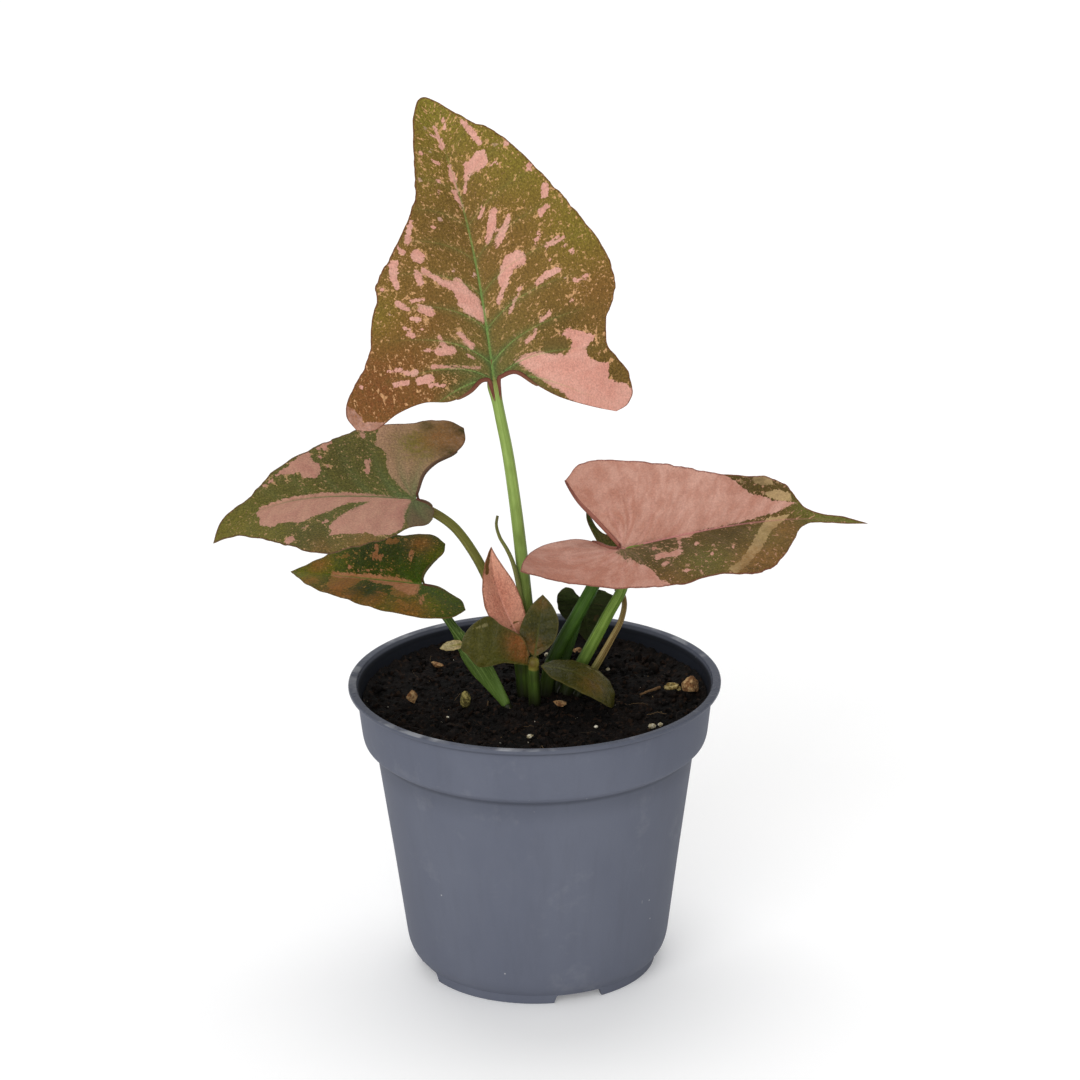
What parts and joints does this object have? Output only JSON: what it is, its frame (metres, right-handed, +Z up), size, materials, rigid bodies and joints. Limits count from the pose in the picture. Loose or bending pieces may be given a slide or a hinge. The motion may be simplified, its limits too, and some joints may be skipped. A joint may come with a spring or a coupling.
{
  "type": "potted syngonium plant",
  "caption": "Young arrowhead plant with pink and olive variegated arrow-shaped leaves on slim stalks, planted in soil in a tapered plastic nursery pot that stands on its foot ring.",
  "frame": {"origin": "middle of the whole object's footprint, on the surface that the pot stands on", "axes": "+Z up along the pot's axis, -Y towards the side that the upright leaf faces, +X to the right of that side"},
  "size_m": [0.2088, 0.12, 0.2824],
  "materials": {
    "pot_plastic": "matte injection-moulded blue-grey plastic",
    "soil": "moist dark peat",
    "stem_green": "smooth satin leaf stalk",
    "leaf_olive": "satin olive blade splashed with pink",
    "leaf_dark_green": "satin dark green blade",
    "leaf_pink": "satin pink blade",
    "dry_straw": "dry matt plant fibre",
    "bark": "rough bark",
    "perlite": "rough white grains"
  },
  "bodies": {
    "root": {"pot": "pot_plastic", "soil": "soil", "crown": "stem_green", "upright_leaf": "leaf_olive", "left_leaf": "leaf_olive", "small_left_leaf": "leaf_dark_green", "right_leaf": "leaf_pink", "inner_leaf": "leaf_dark_green", "back_leaf": "leaf_dark_green", "pink_young_leaf": "leaf_pink", "low_left_leaf": "leaf_olive", "low_back_leaf": "leaf_olive", "low_right_leaf": "leaf_olive", "upright_stalk": "stem_green", "left_stalk": "stem_green", "right_stalk": "stem_green", "inner_stalk": "stem_green", "back_stalk": "stem_green", "small_left_stalk": "stem_green", "sheath_tip": "stem_green", "dry_stalk": "dry_straw", "dry_bract": "dry_straw", "twig": "dry_straw", "seed_husk_1": "dry_straw", "seed_husk_2": "dry_straw", "bark_chip_1": "bark", "bark_chip_2": "bark", "bark_chip_3": "bark", "bark_chip_4": "bark", "bark_chip_5": "bark", "bark_chip_6": "bark", "perlite_grain_1": "perlite", "perlite_grain_2": "perlite", "perlite_grain_3": "perlite", "perlite_grain_4": "perlite", "perlite_grain_5": "perlite", "perlite_grain_6": "perlite", "perlite_grain_7": "perlite", "perlite_grain_8": "perlite"}
  },
  "joints": []
}
